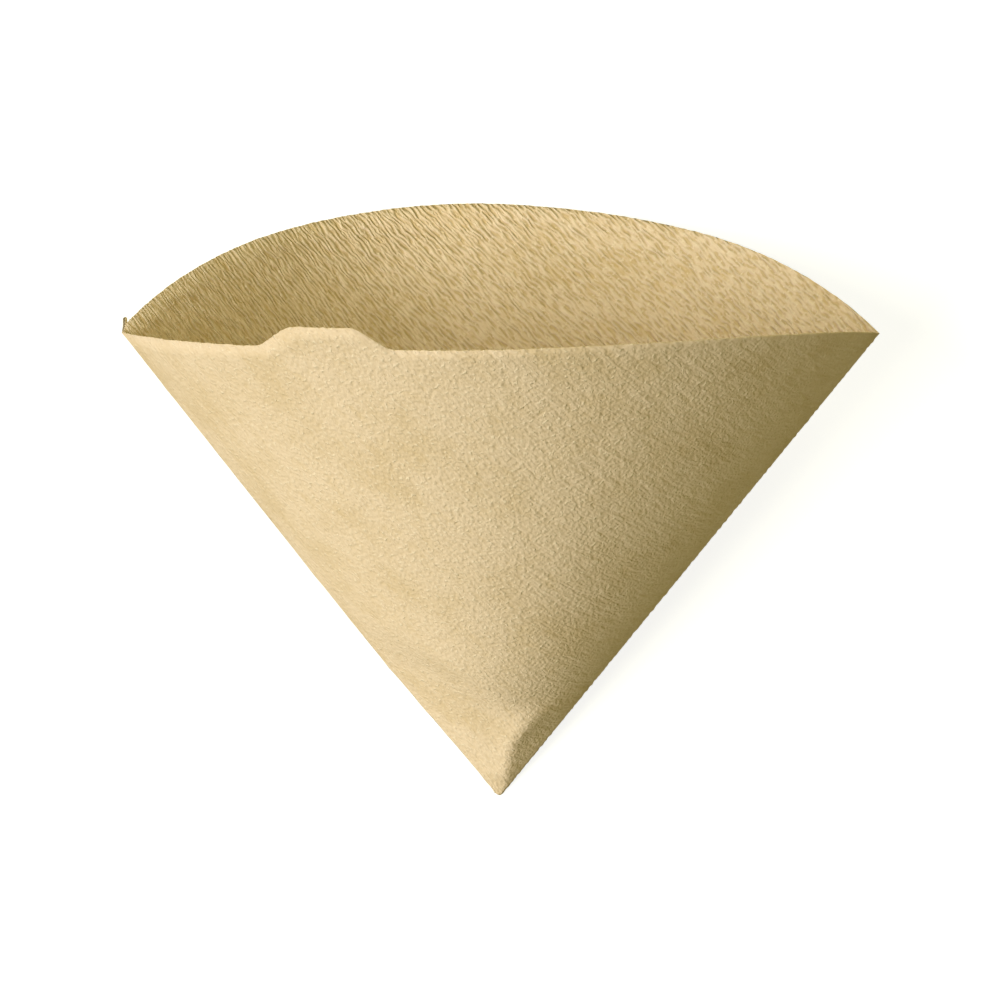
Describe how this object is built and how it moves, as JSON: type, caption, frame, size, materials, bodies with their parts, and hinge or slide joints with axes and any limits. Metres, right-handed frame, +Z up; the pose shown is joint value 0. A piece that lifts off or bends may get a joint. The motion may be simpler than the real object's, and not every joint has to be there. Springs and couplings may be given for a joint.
{
  "type": "paper coffee filter",
  "caption": "Crepe paper filter for a 60 degree cone dripper, folded and seamed into an open cone with a tab on its rim.",
  "frame": {"origin": "under the middle of the bounding box, on the surface that the back wall lies on", "axes": "+Z up, +Y from the point towards the mouth, +X towards the fold; the seam is on the -X side"},
  "size_m": [0.1426, 0.1192, 0.0929],
  "materials": {
    "crepe_paper": "unbleached crepe, matte"
  },
  "bodies": {
    "root": {"filter_paper": "crepe_paper"}
  },
  "joints": []
}
